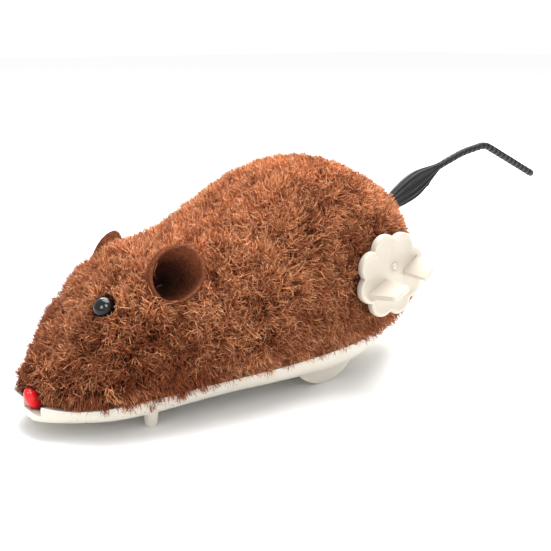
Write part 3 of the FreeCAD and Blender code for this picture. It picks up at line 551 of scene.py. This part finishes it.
def grow_pile():
    """Roots, bends, tips and shades of the hairs, drawn together into clumps, and the skin's area; the
    shades carry painted light and shade.
    """
    roots, normals, area = scatter(HAIR_COUNT, skin_points, skin_normals, skin_keep)
    clumps, clump_normals, _ = scatter(CLUMP_COUNT, skin_points, skin_normals, skin_keep)
    owner = nearest(roots, clumps)
    from_nose = np.linalg.norm(roots - np.array(NOSE_CENTRE), axis=1) - NOSE_RADIUS
    short = np.clip(from_nose / (5 * MM), 0.2, 1)
    length = (pile_length(roots) * short)[:, None] * rng.uniform(0.70, 1.06, (HAIR_COUNT, 1))
    clump_length = pile_length(clumps)[:, None] * rng.uniform(0.78, 1.06, (CLUMP_COUNT, 1))
    own = unit(normals + lay_direction(roots, normals) + rng.normal(0, SCATTER, (HAIR_COUNT, 3)))
    shared = unit(clump_normals + lay_direction(clumps, clump_normals)
                  + rng.normal(0, CLUMP_SCATTER, (CLUMP_COUNT, 3)))
    clump_tips = clumps + shared * clump_length
    gather = rng.uniform(0.15, 0.60, (HAIR_COUNT, 1))
    tips = roots + own * length
    tips = tips + gather * short[:, None] * (clump_tips[owner] - tips)
    bend = roots + normals * length * 0.6 + rng.normal(0, CURL, (HAIR_COUNT, 3))
    clump_shade = rng.normal(0, CLUMP_SHADE_SPREAD, CLUMP_COUNT)
    patch = waves(roots, 20 * MM, 8)[:, 0] * 0.06 + waves(roots, 6 * MM, 9)[:, 0] * 0.09
    shade = SHADE_MEAN + clump_shade[owner] + patch + rng.normal(0, HAIR_SHADE_SPREAD, HAIR_COUNT)
    # Painted light: hairs on skin that faces up are paler.
    shade += TOP_PAINTED_LIGHT * np.clip(normals[:, 2], 0, 1)
    # Painted shadow: hairs round the key on the near side are darker.
    from_key = np.hypot(roots[:, 0] - KEY_X, roots[:, 2] - KEY_Z) / (14.2 * MM)
    shade -= KEY_PAINTED_SHADOW * np.exp(-from_key ** 8) * (roots[:, 1] < PLANE_Y)
    behind, z = roots[:, 0] - NOSE_X, roots[:, 2]
    # Painted shade: hairs low on the front of the head are darker.
    cheek_shade_zone = np.clip((42 * MM - behind) / (12 * MM), 0, 1) * np.clip((32 * MM - z) / (8 * MM), 0, 1)
    # Painted light: hairs high on the rump are paler.
    rump = rise(behind, 0.76 * LENGTH, 0.10 * LENGTH) * rise(z, 36 * MM, 8 * MM)
    shade += RUMP_PAINTED_LIGHT * rump - CHEEK_PAINTED_SHADE * cheek_shade_zone
    # Painted shadow: a darker ring of hair round each eye bead.
    for side in ("left", "right"):
        from_eye = np.linalg.norm(roots - np.array(eye_centre(side)), axis=1) / (5.5 * MM)
        shade -= EYE_PAINTED_SHADOW * np.exp(-from_eye ** 4)
    return roots, bend, tips, np.clip(shade, 0.03, 0.97), area


def hair_points(roots, bend, tips):
    """Points along each hair's arc from its root past the bend to its tip."""
    t = HAIR_ROWS[None, :, None]
    return ((1 - t) ** 2 * roots[:, None] + 2 * t * (1 - t) * bend[:, None] + t ** 2 * tips[:, None])


def inside_sphere(points, centre, radius):
    return np.linalg.norm(points - np.array(centre), axis=-1) < radius


def inside_rod(points, start, direction, length, radius):
    """Points inside a round rod from start along a unit direction."""
    offset = points - np.array(start)
    along = offset @ np.array(direction)
    across = np.linalg.norm(offset - along[..., None] * np.array(direction), axis=-1)
    return (along > 0) & (along < length) & (across < radius)


def inside_key(points):
    """Points in the turning key's disc or hub."""
    from_axis = np.hypot(points[..., 0] - KEY_X, points[..., 2] - KEY_Z)
    in_disc = (from_axis < 12.7 * MM) & (points[..., 1] < KEY_DISC_BACK + 0.25 * MM)
    return in_disc | ((from_axis < 4.3 * MM) & (points[..., 1] < PLANE_Y))


def inside_ear(points, side):
    """Points in an ear's hollow or in front of its mouth."""
    centre, across, up, out = ear_frame(side)
    offset = points - np.array(centre)
    u = offset @ np.array(across) / (EAR_HALF_WIDTH + EAR_FELT / 2)
    v = offset @ np.array(up) / (EAR_HALF_HEIGHT + EAR_FELT / 2)
    n = offset @ np.array(out) / EAR_DEPTH[side]
    bowl = np.sqrt(np.clip(1 - u ** 2 - v ** 2, 0, 1))
    return (u ** 2 + v ** 2 < 0.86) & (n > -bowl - 0.1) & (n < 1.5)


def bare_spots(points):
    """Hairs, by row of points, that would stand in the key, the beads, the ears or the tail."""
    tail_way = (TAIL_NECK - TAIL_ROOT).normalized()
    blocked = inside_key(points) | inside_rod(points, TAIL_ROOT, tail_way, 50 * MM, 2.2 * MM)
    blocked |= points[..., 2] < rim_height(points[..., 0]) - 3.2 * MM
    for sideways in (-1.2, -0.5, 0):
        nose_way = Vector((-1, sideways, 0)).normalized()
        for rise in (-1.3 * MM, 1.3 * MM):
            start = NOSE_CENTRE + Vector((-rise * math.tan(NOSE_LEAN), 0, rise))
            blocked |= inside_rod(points, start, nose_way, 9 * MM, NOSE_RADIUS + 0.3 * MM)
    for side in ("left", "right"):
        eye = eye_centre(side)
        blocked |= inside_sphere(points, eye, EYE_RADIUS + 0.2 * MM)
        blocked |= inside_rod(points, eye, EYE_LEAN[side].normalized(), 8 * MM, EYE_RADIUS + 0.1 * MM)
        blocked |= inside_ear(points, side)
    return blocked.any(axis=1)


def hair_mesh(name, points, sides, shade, width=HAIR_WIDTH):
    """Tapered ribbons, one per hair; U carries the hair's shade and V the way from root to tip."""
    count, rows = points.shape[:2]
    half = sides[:, None, :] * (width / 2 * HAIR_TAPER)[None, :, None]
    verts = np.stack([points - half, points + half], axis=2).reshape(-1, 3)
    first = (np.arange(count) * rows * 2)[:, None] + (np.arange(rows - 1) * 2)[None, :]
    quads = np.stack([first, first + 1, first + 3, first + 2], axis=-1).reshape(-1, 4)
    mesh = bpy.data.meshes.new(name)
    mesh.vertices.add(len(verts))
    mesh.vertices.foreach_set("co", verts.ravel())
    mesh.loops.add(quads.size)
    mesh.loops.foreach_set("vertex_index", quads.ravel())
    mesh.polygons.add(len(quads))
    mesh.polygons.foreach_set("loop_start", np.arange(len(quads)) * 4)
    mesh.polygons.foreach_set("loop_total", np.full(len(quads), 4))
    mesh.update(calc_edges=True)
    u = shade[:, None, None] + np.array([-1, 1, 1, -1]) * UV_HALF_WIDTH + np.zeros((1, rows - 1, 1))
    v = np.stack([HAIR_ROWS[:-1], HAIR_ROWS[:-1], HAIR_ROWS[1:], HAIR_ROWS[1:]], axis=-1)
    uv = np.stack([u, np.broadcast_to(v, u.shape)], axis=-1)
    layer = mesh.uv_layers.new(name="OFBake")
    layer.data.foreach_set("uv", np.clip(uv, 0, 1).ravel())
    return mesh


def ribbon_sides(points):
    """A random direction across each hair."""
    direction = unit(points[:, -1] - points[:, 0])
    return unit(np.cross(direction, rng.normal(size=direction.shape)))


def make_pile():
    """The hairs in pieces from nose to tail, and the area of skin they grow on."""
    roots, bend, tips, shade, area = grow_pile()
    points = hair_points(roots, bend, tips)
    keep = ~bare_spots(points)
    points, shade = points[keep], shade[keep]
    sides = ribbon_sides(points)
    order = np.argsort(points[:, 0, 0])
    pieces = []
    for index, chosen in enumerate(np.array_split(order, PILE_PIECES)):
        name = "pile_%d" % (index + 1)
        mesh = hair_mesh(name, points[chosen], sides[chosen], shade[chosen])
        pieces.append(add_object(name, mesh, PILE))
    return pieces, area


pile, skin_area = make_pile()
skin_keep &= ~(inside_ear(skin_points, "left") | inside_ear(skin_points, "right"))
backing = add_object("plush_backing", grid_mesh("plush_backing", skin_points, keep=skin_keep), BACKING)
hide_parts("fur_cover")


# ---------------------------------------------------------------- ears

EAR_COLUMNS, EAR_ROWS = 64, 22
EAR_REACH = math.radians(96)      # the bowl's wall carries on just past its widest ring


def ear_bowl(side, grow):
    """Rings of a spoon-shaped bowl from its deepest point to its lip, in the ear's own frame."""
    centre, across, up, out = ear_frame(side)
    sign = -1 if side == "left" else 1
    rings = []
    for row in range(EAR_ROWS):
        polar = EAR_REACH * (row + 0.35) / (EAR_ROWS - 0.65)
        ring = []
        for column in range(EAR_COLUMNS):
            angle = 2 * math.pi * column / EAR_COLUMNS
            deep = max(math.cos(polar), 0)
            egg = 1 + 0.05 * math.sin(angle)
            u = (EAR_HALF_WIDTH + grow) * (math.sin(polar) * math.cos(angle) * egg - 0.36 * deep)
            v = (EAR_HALF_HEIGHT + grow) * (math.sin(polar) * math.sin(angle) - 0.34 * deep)
            lip = 0.9 * MM * math.cos(angle) ** 2 * (row / EAR_ROWS) ** 3
            n = -(EAR_DEPTH[side] + grow) * math.cos(polar) + lip
            point = centre + across * (u * -sign) + up * v + out * n
            ring.append(tuple(point))
        rings.append(ring)
    return rings


def ear_nap(side, rings):
    """Short brushed fibres on the felt's outside and its cut edge."""
    grid = np.array(rings)
    along = np.gradient(grid, axis=0)
    around = np.roll(grid, -1, axis=1) - np.roll(grid, 1, axis=1)
    normals = unit(np.cross(along, around))
    away = grid - grid.mean(axis=(0, 1))
    normals *= np.sign(np.sum(normals * away, axis=-1, keepdims=True))
    keep = np.ones(grid.shape[:2], bool)
    roots, directions, _ = scatter(NAP_COUNT, grid, normals, keep)
    length = rng.uniform(0.35, 0.8, (len(roots), 1)) * MM
    own = unit(directions + rng.normal(0, 0.6, roots.shape))
    points = hair_points(roots, roots + own * length * 0.5, roots + own * length)
    shade = np.clip(rng.normal(0.5, 0.2, len(roots)), 0.03, 0.97)
    return hair_mesh("ear_nap_" + side, points, ribbon_sides(points), shade, 0.07 * MM)


def shade_by_depth(mesh, outside, inside):
    """V is 1 on the felt's outside and lip, and falls to 0 at the bottom of the hollow; the felt's painted
    shade follows it.
    """
    rows = len(outside) + 1 + len(inside)
    columns = len(outside[0])
    share = [1.0] * (len(outside) + 1) + [1 - index / (len(inside) - 1) for index in range(len(inside))]
    layer = mesh.uv_layers.new(name="OFBake")
    for loop in mesh.loops:
        row = min(loop.vertex_index // columns, rows - 1)
        layer.data[loop.index].uv = (loop.vertex_index % columns / columns, share[row])


def make_ear(side):
    """Felt cup of two bowls joined at a rounded lip, with its nap."""
    inside, outside = ear_bowl(side, 0), ear_bowl(side, EAR_FELT)
    lip = [tuple((Vector(a) + Vector(b)) / 2 + ear_frame(side)[3] * 0.35 * MM)
           for a, b in zip(inside[-1], outside[-1])]
    mesh = lofted("ear_cup_" + side, outside + [lip] + inside[::-1])
    shade_by_depth(mesh, outside, inside)
    ear = add_object("ear_cup_" + side, mesh, FELT)
    nap = add_object("ear_nap_" + side, ear_nap(side, outside), NAP)
    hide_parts("ear_" + side)


for side in ("left", "right"):
    make_ear(side)


# ---------------------------------------------------------------- beads

def make_bead(name, node_name, centre, axis, half_length, radius, material):
    """Oval bead in the place of a node."""
    steps = 24
    profile = []
    for step in range(steps + 1):
        angle = math.pi * (step + 0.02) / (steps + 0.04)
        profile.append((-half_length * math.cos(angle), radius * math.sin(angle)))
    bead = add_object(name, lathed(name, profile, centre, axis, 48), material)
    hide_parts(node_name)


for side in ("left", "right"):
    make_bead("eye_bead_" + side, "eye_" + side, eye_centre(side), EYE_LEAN[side].normalized(),
              EYE_RADIUS * 0.94, EYE_RADIUS, EYE_BLACK)
make_bead("nose_bead", "nose", NOSE_CENTRE, Vector((-math.sin(NOSE_LEAN), 0, math.cos(NOSE_LEAN))),
          NOSE_HALF_LENGTH, NOSE_RADIUS, NOSE_RED)


# ---------------------------------------------------------------- tail

# distance from the neck towards the body, half width, half thickness, in mm; the last are the stalk
LEAF_STATIONS = ((0, 1.35, 1.25), (2.2, 1.75, 1.4), (5, 2.85, 1.8), (10, 4.5, 2.4),
                 (14.5, 4.5, 2.5), (19, 3.9, 2.4), (23, 2.9, 2.1),
                 (28, 2.3, 1.9), (35, 2.0, 1.8), (41, 2.0, 1.8))
LEAF_RIDGES, RIDGE_HEIGHT, LEAF_RINGS = 7, 0.34, 120
BARB_START, BARB_END, BARB_HEIGHT = 5.2, 6.6, 0.5     # along the leaf, in mm
LEAF_SIDES, ROD_SIDES = 72, 28
ROD_RADIUS, GROOVE_RADIUS, SEGMENT, GROOVE = 1.25 * MM, 1.14 * MM, 2.4 * MM, 0.26 * MM


def tail_line():
    """Points along the thin part, each corner rounded by a tangent arc."""
    points = [TAIL_NECK] + [corner for corner, _ in TAIL_CORNERS] + [TAIL_TIP]
    line = [points[0]]
    for before, corner, after, (_, radius) in zip(points, points[1:], points[2:], TAIL_CORNERS):
        back, ahead = (before - corner).normalized(), (after - corner).normalized()
        half_turn = (math.pi - back.angle(ahead)) / 2
        tangent = radius * math.tan(half_turn)
        middle = corner + (back + ahead).normalized() * (radius / math.cos(half_turn))
        first, last = corner + back * tangent - middle, corner + ahead * tangent - middle
        for step in range(13):
            line.append(middle + first.lerp(last, step / 12).normalized() * radius)
    line.append(points[-1])
    return line


def walk(line, distances):
    """Points and unit directions at distances along a line of points."""
    array = np.array([tuple(point) for point in line])
    steps = np.concatenate([[0], np.cumsum(np.linalg.norm(np.diff(array, axis=0), axis=1))])
    places = np.stack([np.interp(distances, steps, array[:, axis]) for axis in range(3)], axis=1)
    ways = unit(np.gradient(places, axis=0))
    return places, ways, steps[-1]


def tail_rod():
    """Thin part: moulded segments with narrow grooves between them and a rounded end."""
    line = tail_line()
    total = walk(line, np.array([0.0, 1.0 * MM]))[2]
    distances, radii = [], []
    for index in range(int(total / SEGMENT) + 1):
        start = index * SEGMENT
        for offset, radius in ((0, GROOVE_RADIUS), (GROOVE, GROOVE_RADIUS), (GROOVE * 1.5, ROD_RADIUS),
                               (SEGMENT / 2, ROD_RADIUS * 1.02), (SEGMENT - GROOVE * 0.5, ROD_RADIUS)):
            if start + offset < total - 0.4 * MM:
                distances.append(start + offset)
                radii.append(radius)
    for share in (0.0, 0.45, 0.75, 0.93, 0.995):
        distances.append(total + ROD_RADIUS * share - 0.3 * MM)
        radii.append(ROD_RADIUS * math.sqrt(1 - share ** 2))
    line.append(line[-1] + (line[-1] - line[-2]).normalized() * 2 * MM)
    places, ways, _ = walk(line, np.array(distances))
    side = np.array([0.0, 1.0, 0.0])
    rings = []
    for place, way, radius in zip(places, ways, radii):
        up = np.cross(way, side)
        rings.append([place + (side * math.cos(angle) + up * math.sin(angle)) * radius
                      for angle in np.linspace(0, 2 * math.pi, ROD_SIDES, endpoint=False)])
    return lofted("tail_rod", rings)


def leaf_mesh():
    """Flat leaf with lengthwise ridges and a small barb on its lower edge, and its stalk into the body."""
    way = (TAIL_ROOT - TAIL_NECK).normalized()
    upright = Vector((-way.z, 0, way.x))
    if upright.z < 0:
        upright = -upright
    side = Vector((0, 1, 0))
    table = np.array(LEAF_STATIONS)
    rings = []
    for distance in np.linspace(0, table[-1, 0], LEAF_RINGS):
        half_width = np.interp(distance, *smoothed(table[:, 0], table[:, 1]))
        half_thickness = np.interp(distance, *smoothed(table[:, 0], table[:, 2]))
        deep = RIDGE_HEIGHT * min(distance / 9, 1)
        ring = []
        for index in range(LEAF_SIDES):
            angle = 2 * math.pi * index / LEAF_SIDES
            ridge = deep * (math.cos(LEAF_RIDGES * 2 * angle) - 1)
            up_size = half_width * math.sin(angle)
            if math.sin(angle) < -0.85 and BARB_START < distance < BARB_END:
                up_size -= BARB_HEIGHT * (distance - BARB_START) / (BARB_END - BARB_START)
            out_size = (half_thickness + ridge) * math.cos(angle)
            ring.append(TAIL_NECK + (way * distance + upright * up_size + side * out_size) * MM)
        rings.append([tuple(point) for point in ring])
    return lofted("tail_leaf", rings)


def smoothed(places, values):
    """A finer table through the given one, rounded by repeated averaging."""
    fine = np.linspace(places[0], places[-1], 90)
    curve = np.interp(fine, places, values)
    for _ in range(60):
        curve[1:-1] = (curve[:-2] + 2 * curve[1:-1] + curve[2:]) / 4
    return fine, curve


tail_piece = add_object("tail_moulding", joined("tail_moulding", [leaf_mesh(), tail_rod()]), TAIL_BLACK)
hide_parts("tail")


# ---------------------------------------------------------------- winding key

KEY_FACE = KEY_DISC_BACK - 2.2 * MM       # y of the disc's outer face
PETALS, PETAL_CENTRE_RADIUS, PETAL_RADIUS = 8, 8.0 * MM, 4.3 * MM
FIRST_PETAL_ANGLE = math.radians(20.5)
DISC_POINTS = PETALS * 28
KEY_HUB_RADIUS, KEY_HUB_END = 3.5 * MM, key_high.y
LUG_TIP, LUG_THICKNESS, LUG_BACKSET = key_low.y, 1.7 * MM, 2.4 * MM
# inner and outer end of each lug's foot, in mm from the axis
LUG_FEET = (((4.2, 0.1), (9.6, 4.6)), ((-1.7, -0.9), (-9.2, -4.3)))
NUB_X, NUB_Z, NUB_RADIUS = 0.86 * MM, 2.38 * MM, 1.05 * MM


def petal_edge(angle):
    """Distance from the key's axis to the outline at an angle."""
    step = 2 * math.pi / PETALS
    off = (angle - FIRST_PETAL_ANGLE + step / 2) % step - step / 2
    across = PETAL_CENTRE_RADIUS * math.sin(off)
    return PETAL_CENTRE_RADIUS * math.cos(off) + math.sqrt(PETAL_RADIUS ** 2 - across ** 2)


def key_disc():
    """Disc with a thin raised rim round its petals, a shallow dish inside it, and the hub behind."""
    # inset from the outline or a radius, and depth in mm: from the middle, over the rim, to the hub
    rows = [(None, 0.5 * MM, 0.75), (None, 4.5 * MM, 0.72), (3.4 * MM, None, 0.62), (1.9 * MM, None, 0.42),
            (1.35 * MM, None, 0.12), (1.05 * MM, None, 0.0), (0.5 * MM, None, 0.0), (0.18 * MM, None, 0.10),
            (0.0, None, 0.42), (0.0, None, 1.70), (0.15 * MM, None, 2.05), (0.5 * MM, None, 2.2),
            (None, KEY_HUB_RADIUS + 1.0 * MM, 2.2), (None, KEY_HUB_RADIUS + 0.2 * MM, 2.4),
            (None, KEY_HUB_RADIUS, 2.9)]
    rings = []
    for inset, radius, depth in rows:
        ring = []
        for index in range(DISC_POINTS):
            angle = 2 * math.pi * index / DISC_POINTS
            reach = radius if radius is not None else petal_edge(angle) - inset
            ring.append((KEY_X + reach * math.cos(angle), KEY_FACE + depth * MM,
                         KEY_Z + reach * math.sin(angle)))
        rings.append(ring)
    end = [(x, KEY_HUB_END, z) for x, _, z in rings[-1]]
    return lofted("key_disc", rings + [end])


def lug_mesh(inner, outer):
    """Finger lug: an upright plate on the key's face, its outer end sloping back."""
    start = Vector((KEY_X + inner[0] * MM, 0, KEY_Z + inner[1] * MM))
    end = Vector((KEY_X + outer[0] * MM, 0, KEY_Z + outer[1] * MM))
    along = (end - start).normalized()
    below = Vector((along.z, 0, -along.x))
    if below.z > 0:
        below = -below
    corners = []
    for y, foot, tip in ((KEY_FACE + 1.0 * MM, start, end),
                         (LUG_TIP, start + below * 0.2 * MM, end - along * LUG_BACKSET + below * 0.2 * MM)):
        lift = Vector((0, y, 0))
        thick = below * LUG_THICKNESS
        corners.append([tuple(point + lift) for point in (foot, tip, tip + thick, foot + thick)])
    mesh = lofted("key_lug", corners)
    softened = bmesh.new()
    softened.from_mesh(mesh)
    bmesh.ops.bevel(softened, geom=softened.edges[:], offset=0.38 * MM, segments=4, profile=0.5,
                    affect="EDGES")
    softened.to_mesh(mesh)
    softened.free()
    return mesh


def nub_mesh():
    """Small dome inside a low collar, near the middle of the key."""
    place = Vector((KEY_X + NUB_X, KEY_FACE + 0.8 * MM, KEY_Z + NUB_Z))
    r = NUB_RADIUS
    profile = [(-0.2 * MM, 0.02 * r), (-0.2 * MM, 1.85 * r), (0.02 * MM, 1.78 * r), (0.16 * MM, 1.6 * r),
               (0.17 * MM, 1.45 * r), (0.05 * MM, 1.3 * r), (-0.12 * MM, 1.18 * r), (-0.12 * MM, 1.0 * r),
               (0.25 * MM, 0.97 * r), (0.55 * MM, 0.8 * r), (0.78 * MM, 0.5 * r), (0.86 * MM, 0.02 * r)]
    return lathed("key_nub", profile, place, Vector((0, -1, 0)), 32)


def make_key():
    meshes = [key_disc(), nub_mesh()] + [lug_mesh(*feet) for feet in LUG_FEET]
    key = add_object("key_moulding", joined("key_moulding", meshes), KEY_CREAM, "winding")
    key.data.set_sharp_from_angle(angle=math.radians(38))
    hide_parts("winding_key")


make_key()


# ---------------------------------------------------------------- floor, light and camera

CAMERA_PLACE = at(-176.9, -211.6, 98.6)
CAMERA_AZIMUTH, CAMERA_ELEVATION, CAMERA_LENS = -37.4, 14.9, 60.4


def make_camera():
    data = bpy.data.cameras.new("camera")
    data.lens = CAMERA_LENS
    data.sensor_width = 36
    data.clip_start = 0.01
    camera = bpy.data.objects.new("camera", data)
    camera.location = CAMERA_PLACE
    camera.rotation_euler = Euler((math.radians(90 - CAMERA_ELEVATION), 0, math.radians(CAMERA_AZIMUTH)))
    bpy.context.collection.objects.link(camera)
    bpy.context.scene.camera = camera


def make_light(name, place, size, power, gloss_only=False):
    """Area light that faces the object; gloss_only ones show only as highlights."""
    data = bpy.data.lights.new(name, "AREA")
    data.shape = "RECTANGLE"
    data.size, data.size_y = size
    data.energy = power
    light = bpy.data.objects.new(name, data)
    light.location = place
    light.rotation_euler = (-Vector(place)).to_track_quat("-Z", "Y").to_euler()
    light.visible_diffuse = not gloss_only
    bpy.context.collection.objects.link(light)


# The paper is a little greyer under the lamps than further out, so it looks evenly white.
FLOOR_GREYS = ((0.0, 0.88), (0.3, 0.82), (0.6, 0.87), (0.95, 0.97))   # distance in m, grey
FLOOR_HALF_SIZE = 3.0


def make_floor():
    half = FLOOR_HALF_SIZE
    corners = [(-half, -half, 0), (half, -half, 0), (half, half, 0), (-half, half, 0)]
    mesh = bpy.data.meshes.new("floor")
    mesh.from_pydata(corners, [], [(0, 1, 2, 3)])
    floor = bpy.data.objects.new("floor", mesh)
    bpy.context.collection.objects.link(floor)
    material, tree, shader = new_material("floor_pale", Roughness=0.95, Specular_IOR_Level=0.0)
    outward = node(tree, "VectorMath", operation="LENGTH")
    tree.links.new(object_place(tree), outward.inputs[0])
    stops = [(distance, (grey, grey, grey)) for distance, grey in FLOOR_GREYS]
    colour = ramp(tree, outward.outputs["Value"], *stops)
    tree.links.new(colour, shader.inputs["Base Color"])
    mesh.materials.append(material)


def make_world():
    world = bpy.data.worlds.new("studio")
    world.use_nodes = True
    background = world.node_tree.nodes["Background"]
    background.inputs["Color"].default_value = (1, 1, 1, 1)
    background.inputs["Strength"].default_value = 1.0
    bpy.context.scene.world = world


make_camera()
make_floor()
make_world()
make_light("top_light", (0.20, 0.08, 0.80), (0.70, 0.60), 13.0)
make_light("back_light", (0.30, 0.60, 0.55), (0.60, 0.40), 8.0)
make_light("front_light", (-0.20, -0.70, 0.20), (0.70, 0.30), 0.5)
make_light("left_window", (-0.62, -0.36, 0.42), (0.30, 0.34), 4.0, gloss_only=True)
make_light("right_window", (-0.10, -0.62, 0.62), (0.34, 0.34), 5.0, gloss_only=True)
bpy.context.scene.view_settings.view_transform = "Standard"
